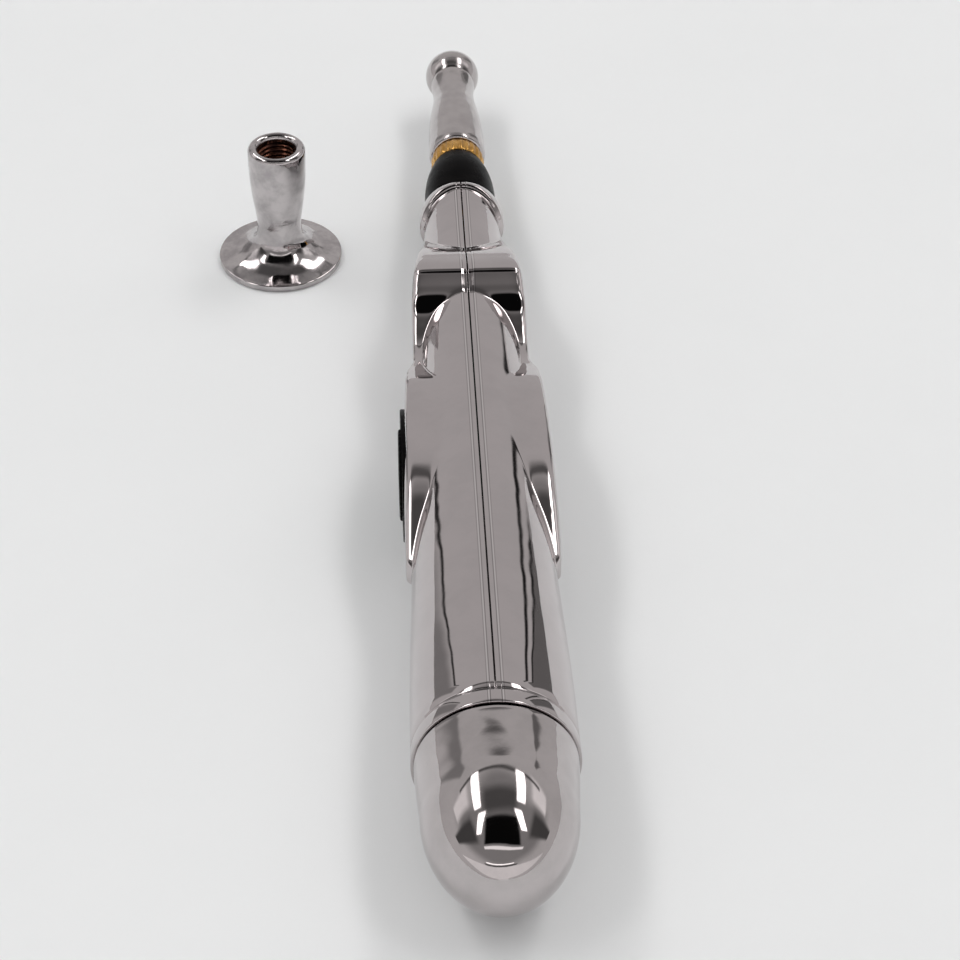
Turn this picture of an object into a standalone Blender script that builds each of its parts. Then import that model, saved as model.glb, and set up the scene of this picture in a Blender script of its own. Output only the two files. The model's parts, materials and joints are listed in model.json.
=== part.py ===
"""Electronic massage pen with a screw-on ball head and a loose disc head.

The pen lies along +Y with its tip forwards. Its sizes are stations along its own axis and distances from that
axis. It rests on its tail band and on the crest of its front lobe, so its axis leans down towards the tip by
LEAN. The loose disc head stands to its left.
"""

import math

import bmesh
import bpy
import numpy as np
from mathutils import Vector

MM = 0.001

# Pen stations along the axis, in mm. The battery cap's rounded end reaches a little behind station 0.
CAP_TIP = -1.2
DOME_AT = 13.4
CAP_END = 22.85
BAND_START, BAND_END = 23.15, 25.5
SHELL_START, SHELL_END = 25.8, 152.4
CONE_END = 164.5
COLLAR_START, COLLAR_END = 164.8, 167.7
HEAD_START = 168.0
BALL_CENTRE = 193.6
DIAL_AT = 84.6
LED_AT = 124.0

# Radii and half-widths from the axis, in mm.
BAND_RADIUS = 11.12
DOME_RADIUS = 10.25
CREST_AT, CREST_HEIGHT = 122.9, 9.4
WALL = 1.1
BALL_RADIUS = 4.4
COLLAR_RADIUS = 4.3
STUD_RADIUS = 2.45
BORE_RADIUS = 2.75
DIAL_FACE = 11.3
BEZEL_FACE = 10.9
POCKET_FLOOR = 10.1
BEZEL_LENGTH, BEZEL_HEIGHT = 25.2, 14.2
KNOB_RADIUS = 6.6
LENS_FACE = 7.95

# Clearances, in mm.
SEAM = 0.3
GAP = 0.3
THIN_GAP = 0.15

# AA cell, in mm.
CELL_RADIUS, CELL_START, CELL_LENGTH = 7.1, 16.4, 49.0

# The casing halves' outer surface: the tapered barrel, then the height and width of its two flat-sided lobes.
BARREL = [(25, 11.08), (32, 11.02), (40, 10.83), (50, 10.45), (59, 10.1), (80, 9.2), (105, 8.15), (120, 7.5),
          (132, 6.9), (141, 6.2), (147.2, 5.9)]
RIM = [(147.6, 6.6), (149.4, 6.62), (150.8, 6.45), (151.8, 6.15), (152.4, 5.8)]
LOBE_HEIGHT = [(61.2, 0.9), (61.9, 1.85), (63.6, 2.65), (66, 3.7), (68.7, 4.8), (71, 5.75), (73.5, 6.42),
               (76.3, 6.82), (80.5, 7.2), (84.6, 7.42), (90, 7.4), (95, 7.05), (99, 6.4), (103, 4.9),
               (106.5, 3.7), (109.5, 3.3), (111.5, 3.5), (113.5, 4.05), (115.4, 4.9), (117.1, 5.8),
               (118.6, 7.05), (120.5, 8.1), (122.2, 9.02), (122.9, 9.38), (123.8, 9.4), (127.5, 8.6),
               (132, 7.0), (137, 4.4), (141, 2.4), (145.5, 0.05)]
LOBE_WIDTH = [(61.2, 9.6), (63.2, 10.75), (66, 10.8), (84, 10.48), (101, 9.95), (104.4, 9.7), (108.5, 8.65),
              (112, 8.6), (118, 8.6), (121, 8.45), (124, 8.15), (128, 7.75), (131, 7.4), (134, 6.95),
              (138, 6.5), (145.5, 5.6)]

# The loose disc head, in mm.
DISC_RADIUS, DISC_LIP = 9.8, 1.05
LOOSE_HEIGHT = 21.2
LOOSE_LEFT, LOOSE_AT = 28.9, 153.7

LEAN = math.atan2(BAND_RADIUS - CREST_HEIGHT, CREST_AT - BAND_END)
AXIS_HEIGHT = BAND_RADIUS * math.cos(LEAN) + BAND_END * math.sin(LEAN)
TIP_END = BALL_CENTRE + BALL_RADIUS

# The frame's origin is on the floor, at the middle of everything's length and width.
PEN_X = (LOOSE_LEFT + DISC_RADIUS - BAND_RADIUS) / 2
PEN_Y = -(CAP_TIP + TIP_END) / 2 * math.cos(LEAN)


def clear_scene():
    for obj in list(bpy.data.objects):
        bpy.data.objects.remove(obj, do_unlink=True)


def material(name, colour, metallic, roughness):
    made = bpy.data.materials.new(name)
    made.use_nodes = True
    shader = made.node_tree.nodes["Principled BSDF"]
    shader.inputs["Base Color"].default_value = (*colour, 1.0)
    shader.inputs["Metallic"].default_value = metallic
    shader.inputs["Roughness"].default_value = roughness
    return made


def smooth_curve(points, at):
    """A curve through the points that never overshoots them, read at each value of at."""
    x, y = np.array(points, float).T
    step, rise = np.diff(x), np.diff(y)
    slope = rise / step
    tangent = np.zeros_like(x)
    tangent[0], tangent[-1] = slope[0], slope[-1]
    same_way = slope[:-1] * slope[1:] > 0
    mean = np.zeros(len(slope) - 1)
    mean[same_way] = 2 / (1 / slope[:-1][same_way] + 1 / slope[1:][same_way])
    tangent[1:-1] = mean
    at = np.clip(at, x[0], x[-1])
    i = np.clip(np.searchsorted(x, at, side="right") - 1, 0, len(step) - 1)
    u = (at - x[i]) / step[i]
    start = (1 + 2 * u) * (1 - u) ** 2 * y[i] + u * (1 - u) ** 2 * step[i] * tangent[i]
    end = u**2 * (3 - 2 * u) * y[i + 1] + u**2 * (u - 1) * step[i] * tangent[i + 1]
    return start + end


def barrel_radius(station):
    radius = smooth_curve(BARREL, station)
    return np.where(station >= RIM[0][0], smooth_curve(RIM, station), radius)


def finish(obj, parent, look, sharp_deg=35):
    obj.data.materials.append(look)
    obj.parent = parent
    if obj.type == "MESH":
        obj.data.shade_smooth()
        obj.data.set_sharp_from_angle(angle=math.radians(sharp_deg))
    return obj


def new_object(name, mesh_maker):
    mesh = bpy.data.meshes.new(name)
    mesh_maker.to_mesh(mesh)
    mesh_maker.free()
    obj = bpy.data.objects.new(name, mesh)
    bpy.context.collection.objects.link(obj)
    return obj


def face_outwards(bm):
    bmesh.ops.remove_doubles(bm, verts=bm.verts, dist=1e-7)
    bmesh.ops.recalc_face_normals(bm, faces=bm.faces)


def turned(name, profile, steps=32, axis="Y"):
    """A solid turned from (station, radius) points: a closed ring unless it starts and ends on the axis."""
    bm = bmesh.new()
    directions = {"Y": lambda s, r: (r, s, 0), "Z": lambda s, r: (r, 0, s), "X": lambda s, r: (s, r, 0)}
    points = [Vector(directions[axis](s, r)) * MM for s, r in profile]
    verts = [bm.verts.new(p) for p in points]
    on_axis = profile[0][1] == 0 and profile[-1][1] == 0
    for a, b in zip(verts, verts[1:] if on_axis else verts[1:] + verts[:1]):
        bm.edges.new((a, b))
    centre_line = {"X": (1, 0, 0), "Y": (0, 1, 0), "Z": (0, 0, 1)}[axis]
    bmesh.ops.spin(bm, geom=bm.verts[:] + bm.edges[:], cent=(0, 0, 0), axis=centre_line, angle=2 * math.pi,
                   steps=steps, use_merge=True)
    face_outwards(bm)
    return new_object(name, bm)


def extruded(name, outline, low, high):
    """A slab between x = low and x = high from an outline of (y, z) points."""
    bm = bmesh.new()
    face = bm.faces.new([bm.verts.new((low * MM, y * MM, z * MM)) for y, z in outline])
    made = bmesh.ops.extrude_face_region(bm, geom=[face])
    moved = [v for v in made["geom"] if isinstance(v, bmesh.types.BMVert)]
    bmesh.ops.translate(bm, verts=moved, vec=((high - low) * MM, 0, 0))
    face_outwards(bm)
    return new_object(name, bm)


def box(name, low, high):
    return extruded(name, [(low[1], low[2]), (high[1], low[2]), (high[1], high[2]), (low[1], high[2])],
                    low[0], high[0])


def oval(centre, length, height, steps=40):
    turn = [2 * math.pi * k / steps for k in range(steps)]
    return [(centre + length / 2 * math.cos(a), height / 2 * math.sin(a)) for a in turn]


def combine(obj, other, operation):
    change = obj.modifiers.new(operation.lower() + "_" + other.name, "BOOLEAN")
    change.operation = operation
    change.object = other
    other.parent = obj.parent
    other.hide_render = True
    other.display_type = "WIRE"


def wire(name, route, radius, parent, look, bevel_resolution=2):
    curve = bpy.data.curves.new(name, "CURVE")
    curve.dimensions = "3D"
    curve.bevel_depth = radius * MM
    curve.bevel_resolution = bevel_resolution
    curve.use_fill_caps = True
    spline = curve.splines.new("POLY")
    spline.points.add(len(route) - 1)
    for point, at in zip(spline.points, route):
        point.co = (*(Vector(at) * MM), 1)
    obj = bpy.data.objects.new(name, curve)
    bpy.context.collection.objects.link(obj)
    return finish(obj, parent, look)


def spread(outline, step):
    """Stations from the first to the last point of an outline, about a step apart."""
    first, last = outline[0][0], outline[-1][0]
    return np.linspace(first, last, int(round((last - first) / step)) + 1)


def make_lobes(pen):
    """The flat-sided lobes: a side view of the lobes' height, cut to their width as seen from above."""
    along = spread(LOBE_HEIGHT, 1.75)
    height = smooth_curve(LOBE_HEIGHT, along)
    side_view = list(zip(along, height)) + list(zip(along[::-1], -height[::-1]))
    lobes = extruded("lobes", side_view, -13, 13)
    along = spread(LOBE_WIDTH, 3.0)
    width = smooth_curve(LOBE_WIDTH, along)
    top_view = list(zip(along, width)) + list(zip(along[::-1], -width[::-1]))
    plan = extruded("lobe_plan", top_view, -13, 13)
    plan.rotation_euler = (0, math.pi / 2, 0)
    lobes.parent = pen
    combine(lobes, plan, "INTERSECT")
    lobes.hide_render = True
    lobes.display_type = "WIRE"
    return lobes


def half_shell(name, side, pen, lobes, chrome):
    """One casing half, side 1 for right and -1 for left: barrel and lobes, bored out and cut at the seam."""
    along = np.concatenate([np.linspace(SHELL_START, BARREL[-1][0], 15), [s for s, _ in RIM]])
    outside = list(zip(along, barrel_radius(along)))
    barrel = [(SHELL_START, 0)] + outside + [(SHELL_END, 0)]
    shell = finish(turned(name, barrel, 36), pen, chrome, 30)
    along = np.linspace(SHELL_START, BARREL[-1][0], 9)
    inside = list(zip(along, np.minimum(barrel_radius(along) - WALL, 9.75)))
    hollow = [(20, 0), (20, inside[0][1])] + inside[1:] + [(160, inside[-1][1]), (160, 0)]
    bore = turned(name + "_bore", hollow, 36)
    low, high = sorted((side * SEAM / 2, -side * 14))
    other_half = box(name + "_seam", (low, 12, -15), (high, 166, 15))
    combine(shell, lobes, "UNION")
    combine(shell, other_half, "DIFFERENCE")
    combine(shell, bore, "DIFFERENCE")
    return shell


def make_casing(pen, chrome, gloss_black, red_glass):
    lobes = make_lobes(pen)
    half_shell("right_shell", 1, pen, lobes, chrome)
    left = half_shell("left_shell", -1, pen, lobes, chrome)
    pocket = extruded("bezel_pocket", oval(DIAL_AT, BEZEL_LENGTH + 2 * THIN_GAP, BEZEL_HEIGHT + 2 * THIN_GAP),
                      -13, -POCKET_FLOOR)
    shaft_hole = turned("shaft_hole", [(-13, 0), (-13, 3.4), (-5, 3.4), (-5, 0)], 24, "X")
    shaft_hole.location.y = DIAL_AT * MM
    led_hole = turned("led_hole", [(-11, 0), (-11, 1.8), (-4, 1.8), (-4, 0)], 20, "X")
    led_hole.location.y = LED_AT * MM
    for cutter in (pocket, shaft_hole, led_hole):
        combine(left, cutter, "DIFFERENCE")

    band = [(17.6, 8.6), (17.6, 9.3), (BAND_START, 9.3), (BAND_START, BAND_RADIUS), (BAND_END, BAND_RADIUS),
            (BAND_END, 9.4), (29.0, 9.4), (29.0, 8.6)]
    finish(turned("tail_band", band, 40), pen, chrome)

    cone = [(149.2, BORE_RADIUS), (149.2, 4.4), (SHELL_END + GAP, 4.4), (SHELL_END + GAP, 5.65),
            (156.0, 5.6), (158.8, 5.4), (161.0, 5.05), (162.8, 4.6), (164.0, 4.25), (CONE_END, 4.1),
            (CONE_END, BORE_RADIUS)]
    finish(turned("nose_cone", cone), pen, gloss_black)

    bezel = finish(extruded("dial_bezel", oval(DIAL_AT, BEZEL_LENGTH, BEZEL_HEIGHT), -BEZEL_FACE,
                            -POCKET_FLOOR - THIN_GAP), pen, gloss_black)
    well_radius = KNOB_RADIUS + GAP
    well = turned("knob_well", [(-13, 0), (-13, well_radius), (-9, well_radius), (-9, 0)], 36, "X")
    well.location.y = DIAL_AT * MM
    combine(bezel, well, "DIFFERENCE")

    window = [(-LENS_FACE - 0.1, 0), (-LENS_FACE, 1.5), (-6.7, 1.5), (-6.7, 0)]
    lens = finish(turned("led_lens", window, 20, "X"), pen, red_glass)
    lens.location.y = LED_AT * MM


def make_dial(pen, gloss_black, steel):
    hub = bpy.data.objects.new("dial_axis", None)
    bpy.context.collection.objects.link(hub)
    hub.parent = pen
    hub.location.y = DIAL_AT * MM
    back = POCKET_FLOOR + THIN_GAP
    knob = [(-DIAL_FACE, 0), (-DIAL_FACE, KNOB_RADIUS - 0.5), (-DIAL_FACE + 0.15, KNOB_RADIUS - 0.15),
            (-DIAL_FACE + 0.5, KNOB_RADIUS), (-back, KNOB_RADIUS), (-back, 3.0 + GAP),
            (-DIAL_FACE + 0.8, 3.0 + GAP), (-DIAL_FACE + 0.8, 0)]
    finish(turned("dial_knob", knob, 36, "X"), hub, gloss_black)
    shaft = [(-DIAL_FACE + 1.1, 0), (-DIAL_FACE + 1.1, 3.0), (-5.5, 3.0), (-5.5, 0)]
    finish(turned("dial_shaft", shaft, 24, "X"), hub, steel)


def make_battery_end(pen, chrome, steel, nickel, sleeve):
    dome = [(CAP_TIP, 0.0)]
    for k in range(1, 9):
        a = math.pi / 2 * k / 9
        dome.append((DOME_AT - (DOME_AT - CAP_TIP) * math.cos(a), DOME_RADIUS * math.sin(a)))
    outside = dome + [(DOME_AT, DOME_RADIUS), (17.5, 10.5), (CAP_END - 0.4, 10.8), (CAP_END, 10.75)]
    inside = [(CAP_END, 9.6), (17.2, 9.6), (17.2, 8.6), (11.0, 8.6), (7.6, 7.4), (5.4, 5.6), (5.4, 0.0)]
    finish(turned("battery_cap", outside + inside, 36), pen, chrome)

    finish(turned("cap_contact", [(5.7, 0), (5.7, 5.0), (6.1, 5.0), (6.1, 0)], 28), pen, steel)
    turns, start, end, wire_radius = 4.0, 6.8, CELL_START - 0.7, 0.35
    route = []
    for k in range(int(turns * 14) + 1):
        u = k / (turns * 14)
        reach = 4.3 - 1.3 * u
        angle = 2 * math.pi * turns * u
        route.append((reach * math.cos(angle), start + (end - start) * u, reach * math.sin(angle)))
    wire("cap_spring", route, wire_radius, pen, nickel, 1)

    rear = CELL_START
    front = CELL_START + CELL_LENGTH
    can = [(rear, 0), (rear, 5.2), (rear + 0.3, 6.7), (rear + 0.8, CELL_RADIUS), (front - 0.8, CELL_RADIUS),
           (front - 0.3, 6.7), (front, 5.6), (front, 0)]
    finish(turned("battery_can", can, 36), pen, sleeve)
    button = [(front + THIN_GAP, 0), (front + THIN_GAP, 2.6), (front + 1.35, 2.6), (front + 1.5, 2.3),
              (front + 1.5, 0)]
    finish(turned("battery_button", button, 24), pen, nickel)


def make_battery_bay(pen, natural_plastic, nickel):
    tube = [(22.4, 7.4), (22.4, 7.9), (69.0, 7.9), (69.0, 1.6), (68.2, 1.6), (68.2, 7.4)]
    finish(turned("battery_tube", tube, 36), pen, natural_plastic)
    plate = [(67.3, 0), (67.3, 4.2), (67.6, 4.2), (67.6, 0.9), (70.9, 0.9), (70.9, 0)]
    finish(turned("positive_contact", plate, 24), pen, nickel)
    finish(box("negative_strip", (-1.3, 29.4, -8.3), (1.3, 70.0, -8.06)), pen, nickel)


def make_circuit(pen, board_green, steel, ferrite, copper, can_black, chip_black, red_glass, wire_red):
    board = [(71.3, -6.4), (104, -6.4), (107, -4.9), (127.5, -4.9), (127.5, 4.9), (107, 4.9), (104, 6.4),
             (71.3, 6.4)]
    finish(extruded("circuit_board", board, -0.9, 0.3), pen, board_green)
    drum = [(-5.2, 0), (-5.2, 5.4), (-1.2, 5.4), (-1.2, 0)]
    case = finish(turned("dial_control", drum, 28, "X"), pen, steel)
    case.location.y = DIAL_AT * MM

    core = finish(box("transformer_core", (0.9, 94.5, -4.0), (4.5, 104.5, 4.0)), pen, ferrite)
    for side in (-1, 1):
        low, high = sorted((side * 1.1, side * 2.9))
        combine(core, box("core_window_" + ("low" if side < 0 else "high"), (0, 96.5, low), (6, 102.5, high)),
                "DIFFERENCE")
    coil = finish(box("transformer_coil", (0.55, 96.8, -2.6), (5.2, 102.2, 2.6)), pen, copper)
    combine(coil, box("coil_bore", (0.75, 96, -1.25), (4.75, 103, 1.25)), "DIFFERENCE")

    drum = [(73.6, 0), (73.6, 2.3), (74, 2.5), (83, 2.5), (83.2, 0)]
    can = finish(turned("filter_capacitor", drum, 24), pen, can_black)
    can.location = (3.4 * MM, 0, -2.2 * MM)
    finish(box("pulse_chip", (0.6, 86.8, -2.0), (2.1, 91.8, 2.0)), pen, chip_black)
    led = [(-6.4, 0), (-6.1, 0.9), (-5.4, 1.4), (-2.4, 1.4), (-2.4, 1.6), (-1.2, 1.6), (-1.2, 0)]
    finish(turned("indicator_led", led, 20, "X"), pen, red_glass).location.y = LED_AT * MM
    lead = []
    for k in range(13):
        u = k / 12
        swing = math.sin(math.pi * u)
        lead.append((1.2 - 1.2 * u, 127.2 + 17.2 * u, 2.4 * (1 - u) + 1.2 * swing - 1.2 * u * (1 - u)))
    wire("electrode_lead", lead, 0.45, pen, wire_red)


def make_tip(pen, chrome, brass, copper):
    stud = [(144.9, 0), (144.9, STUD_RADIUS), (176.0, STUD_RADIUS), (176.6, STUD_RADIUS - 0.6), (176.6, 0)]
    finish(turned("threaded_stud", stud, 28), pen, brass)
    collar = [(COLLAR_START, BORE_RADIUS), (COLLAR_START, COLLAR_RADIUS - 0.3),
              (COLLAR_START + 0.4, COLLAR_RADIUS), (COLLAR_END - 0.4, COLLAR_RADIUS),
              (COLLAR_END, COLLAR_RADIUS - 0.3), (COLLAR_END, BORE_RADIUS)]
    finish(turned("brass_collar", collar), pen, brass)
    nut = finish(turned("stud_nut", [(146.2, 0), (146.2, 4.0), (148.7, 4.0), (148.7, 0)], 6), pen, brass)
    nut_bore = turned("nut_bore", [(145, 0), (145, BORE_RADIUS), (150, BORE_RADIUS), (150, 0)], 24)
    combine(nut, nut_bore, "DIFFERENCE")

    bore = [(178.4, 0.0), (178.4, 3.6), (169.0, 3.6), (169.0, 2.9), (HEAD_START, 2.9)]
    outside = [(HEAD_START, 4.0), (HEAD_START + 0.3, 4.4), (169.2, 4.55), (172, 4.5), (176, 4.36),
               (179.5, 4.1), (182.5, 3.72), (185, 3.42), (187, 3.34), (189, 3.45), (190.2, 3.6)]
    ball = []
    for k in range(13):
        a = math.radians(124 * (1 - k / 12))
        ball.append((BALL_CENTRE + BALL_RADIUS * math.cos(a), BALL_RADIUS * math.sin(a)))
    finish(turned("ball_head", bore + outside + ball, 28), pen, chrome)
    insert = [(169.3, BORE_RADIUS), (169.3, 3.3), (178.1, 3.3), (178.1, BORE_RADIUS)]
    finish(turned("ball_head_insert", insert, 28), pen, copper)


def make_loose_head(stand, chrome, copper):
    top = LOOSE_HEIGHT
    disc = [(0.0, 0.0), (0.0, DISC_RADIUS - 0.3), (0.25, DISC_RADIUS), (0.8, DISC_RADIUS),
            (DISC_LIP, DISC_RADIUS - 0.3), (1.58, 7.6), (2.35, 5.9), (3.4, 4.5), (4.4, 3.86), (5.8, 3.54)]
    neck = [(7.2, 3.5), (9.4, 3.75), (12.4, 4.15), (16.0, 4.45), (top - 1.4, 4.55), (top - 0.5, 4.35),
            (top - 0.1, 3.9), (top, 3.5), (top - 0.25, 3.1), (top - 0.8, 2.9), (top - 1.2, 2.9)]
    bore = [(top - 1.2, 3.6), (top - 10.4, 3.6), (top - 10.4, 0.0)]
    finish(turned("spare_disc_head", disc + neck + bore, 32, "Z"), stand, chrome)
    insert = [(top - 10.1, BORE_RADIUS), (top - 10.1, 3.3), (top - 1.5, 3.3), (top - 1.5, BORE_RADIUS)]
    finish(turned("spare_head_insert", insert, 28, "Z"), stand, copper)


def main():
    clear_scene()
    bpy.context.scene.unit_settings.scale_length = 1.0
    chrome = material("chrome", (0.72, 0.7, 0.7), 1.0, 0.08)
    gloss_black = material("gloss_black", (0.015, 0.015, 0.016), 0.0, 0.12)
    brass = material("brass", (0.75, 0.5, 0.2), 1.0, 0.3)
    copper = material("copper", (0.72, 0.4, 0.27), 1.0, 0.3)
    steel = material("steel", (0.6, 0.6, 0.6), 1.0, 0.3)
    nickel = material("nickel", (0.7, 0.68, 0.64), 1.0, 0.25)
    sleeve = material("sleeve", (0.05, 0.09, 0.2), 0.0, 0.3)
    natural_plastic = material("natural_plastic", (0.75, 0.74, 0.7), 0.0, 0.5)
    board_green = material("board_green", (0.02, 0.2, 0.08), 0.0, 0.35)
    ferrite = material("ferrite", (0.06, 0.06, 0.06), 0.0, 0.6)
    chip_black = material("chip_black", (0.03, 0.03, 0.03), 0.0, 0.5)
    red_glass = material("red_glass", (0.6, 0.02, 0.02), 0.0, 0.1)
    wire_red = material("wire_red", (0.6, 0.03, 0.03), 0.0, 0.4)

    pen = bpy.data.objects.new("pen_axis", None)
    bpy.context.collection.objects.link(pen)
    pen.location = Vector((PEN_X, PEN_Y, AXIS_HEIGHT)) * MM
    pen.rotation_euler = (-LEAN, 0, 0)
    make_casing(pen, chrome, gloss_black, red_glass)
    make_dial(pen, gloss_black, steel)
    make_battery_end(pen, chrome, steel, nickel, sleeve)
    make_battery_bay(pen, natural_plastic, nickel)
    make_circuit(pen, board_green, steel, ferrite, copper, chip_black, chip_black, red_glass, wire_red)
    make_tip(pen, chrome, brass, copper)

    stand = bpy.data.objects.new("loose_head_axis", None)
    bpy.context.collection.objects.link(stand)
    stand.location = Vector((PEN_X - LOOSE_LEFT, PEN_Y + LOOSE_AT, 0)) * MM
    make_loose_head(stand, chrome, copper)


main()
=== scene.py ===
"""Looks of the electronic massage pen: fine meshes, materials, studio and camera around the CAD frame."""

import json
import math

import bmesh
import bpy
import numpy as np
from mathutils import Matrix, Vector


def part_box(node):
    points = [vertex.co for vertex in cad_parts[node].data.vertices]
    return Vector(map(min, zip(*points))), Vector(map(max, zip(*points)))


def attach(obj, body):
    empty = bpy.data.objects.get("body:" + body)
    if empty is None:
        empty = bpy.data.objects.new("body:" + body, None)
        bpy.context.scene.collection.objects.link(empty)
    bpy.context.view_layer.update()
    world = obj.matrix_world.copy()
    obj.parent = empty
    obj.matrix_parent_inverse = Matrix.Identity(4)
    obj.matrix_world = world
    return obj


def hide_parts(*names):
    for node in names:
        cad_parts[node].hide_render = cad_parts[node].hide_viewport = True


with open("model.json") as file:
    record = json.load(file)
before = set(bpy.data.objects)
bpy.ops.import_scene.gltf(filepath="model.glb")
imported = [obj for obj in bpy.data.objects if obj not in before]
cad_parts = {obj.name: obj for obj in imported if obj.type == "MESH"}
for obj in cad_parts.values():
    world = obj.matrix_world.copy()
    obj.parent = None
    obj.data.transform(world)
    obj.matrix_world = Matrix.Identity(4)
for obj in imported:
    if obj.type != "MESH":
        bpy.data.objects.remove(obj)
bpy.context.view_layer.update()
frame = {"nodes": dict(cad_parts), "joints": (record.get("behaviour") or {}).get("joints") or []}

MM = 0.001

# Stations along the pen's own axis, in mm, as in the CAD.
CAP_TIP, DOME_AT = -1.2, 13.4
CAP_END = 22.85
BAND_START, BAND_END = 23.15, 25.5
SHELL_START, SHELL_END = 25.8, 152.4
CONE_END = 164.5
COLLAR_START, COLLAR_END = 164.8, 167.7
HEAD_START = 168.0
BALL_CENTRE, BALL_RADIUS = 193.6, 4.4
DIAL_AT = 84.6
LED_AT = 124.0

# Distances from the axis, in mm.
BAND_RADIUS = 11.12
DOME_RADIUS = 10.25
WALL = 1.1
INNER_MOST = 9.75
COLLAR_RADIUS = 4.3
STUD_RADIUS = 2.45
BORE_RADIUS = 2.75
DIAL_FACE = 11.3
BEZEL_FACE, POCKET_FLOOR = 10.9, 10.1
BEZEL_LENGTH, BEZEL_HEIGHT = 25.2, 14.2
KNOB_RADIUS = 6.6
SHAFT_HOLE, LENS_HOLE = 3.4, 1.8
LENS_FACE = 7.95
GAP, THIN_GAP = 0.3, 0.15
CELL_RADIUS, CELL_START, CELL_LENGTH = 7.1, 16.4, 49.0
SPIGOT_BORE, SPIGOT_RADIUS = 8.6, 9.4
CAP_BORE = 9.6
HEAD_MOUTH, HEAD_SOCKET = 2.9, 3.6
SLEEVE_RADIUS = 3.3
THREAD_PITCH, THREAD_DEPTH = 0.8, 0.3
STUD_THREAD_DEPTH = 0.35

# The seam between the halves, and the sunken land beside it, which is deeper over the front lobe's crest.
SEAM = 0.18
SEAM_EDGE = 0.08
LAND_WIDTH, LAND_DEPTH, LAND_RAMP = 0.75, 0.05, 0.12
CREST_LAND = (117.0, 124.0)
CREST_DEPTH, CREST_RAMP = 0.065, 0.3

# The casing's outer surface: the tapered barrel, then the height and width of its two flat-sided lobes.
BARREL = [(25, 11.08), (32, 11.02), (40, 10.83), (50, 10.45), (59, 10.1), (80, 9.2), (105, 8.15), (120, 7.5),
          (132, 6.9), (141, 6.2), (147.2, 5.9)]
RIM = [(147.6, 6.6), (149.4, 6.62), (150.8, 6.45), (151.8, 6.15), (152.4, 5.8)]
LOBE_HEIGHT = [(61.2, 0.9), (61.9, 1.85), (63.6, 2.65), (66, 3.7), (68.7, 4.8), (71, 5.75), (73.5, 6.42),
               (76.3, 6.82), (80.5, 7.2), (84.6, 7.42), (90, 7.4), (95, 7.05), (99, 6.4), (103, 4.9),
               (106.5, 3.7), (109.5, 3.3), (111.5, 3.5), (113.5, 4.05), (115.4, 4.9), (117.1, 5.8),
               (118.6, 7.05), (120.5, 8.1), (122.2, 9.02), (122.9, 9.38), (123.8, 9.4), (127.5, 8.6),
               (132, 7.0), (137, 4.4), (141, 2.4), (145.5, 0.05)]
LOBE_WIDTH = [(61.2, 9.6), (63.2, 10.75), (66, 10.8), (84, 10.48), (101, 9.95), (104.4, 9.7),
              (108.5, 8.65), (112, 8.6), (118, 8.6), (121, 8.45), (124, 8.15), (128, 7.75), (131, 7.4),
              (134, 6.95), (138, 6.5), (145.5, 5.6)]

# How square the lobes' corners are along the axis, and how tight the crease is where a lobe meets the barrel.
CORNER_POWER = [(61, 9), (73, 12), (82, 18), (104, 18), (112, 14), (146, 14)]
BLEND_POWER = 55

# The rim's foot leans forwards from the sides to the top; the casing's rear edge is rounded.
RIM_TOP, RIM_SLOPE, RIM_BLEND = 150.5, 3.2, 0.35
REAR_LIP = 0.3
CASING_SHARP = 40

# The pen's place comes from the frame: its axis runs through the dial's joint, against the cap's slide.
joints = {joint["name"]: joint for joint in frame["joints"]}
forward = -Vector(joints["cap_off"]["axis"]).normalized()
upward = Vector((1, 0, 0)).cross(forward)
pen_origin = Vector(joints["dial_turn"]["pos_m"]) - forward * DIAL_AT * MM
PEN = Matrix.Translation(pen_origin) @ Matrix((Vector((1, 0, 0)), forward, upward)).transposed().to_4x4()
loose_low, loose_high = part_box("spare_disc_head")
LOOSE = Matrix.Translation(((loose_low.x + loose_high.x) / 2, (loose_low.y + loose_high.y) / 2, loose_low.z))
DIAL = PEN @ Matrix.Translation((0, DIAL_AT * MM, 0))
LAMP = PEN @ Matrix.Translation((0, LED_AT * MM, 0))


def smooth_curve(points, at):
    """A curve through the points that never overshoots them, read at each value of at."""
    x, y = np.array(points, float).T
    step, rise = np.diff(x), np.diff(y)
    slope = rise / step
    tangent = np.zeros_like(x)
    tangent[0], tangent[-1] = slope[0], slope[-1]
    same_way = slope[:-1] * slope[1:] > 0
    mean = np.zeros(len(slope) - 1)
    mean[same_way] = 2 / (1 / slope[:-1][same_way] + 1 / slope[1:][same_way])
    tangent[1:-1] = mean
    at = np.clip(at, x[0], x[-1])
    i = np.clip(np.searchsorted(x, at, side="right") - 1, 0, len(step) - 1)
    u = (at - x[i]) / step[i]
    start = (1 + 2 * u) * (1 - u) ** 2 * y[i] + u * (1 - u) ** 2 * step[i] * tangent[i]
    end = u**2 * (3 - 2 * u) * y[i + 1] + u**2 * (u - 1) * step[i] * tangent[i + 1]
    return start + end


def barrel_radius(station):
    radius = smooth_curve(BARREL, station)
    return np.where(station >= RIM[0][0], smooth_curve(RIM, station), radius)


# ---------------------------------------------------------------- meshes


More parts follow.
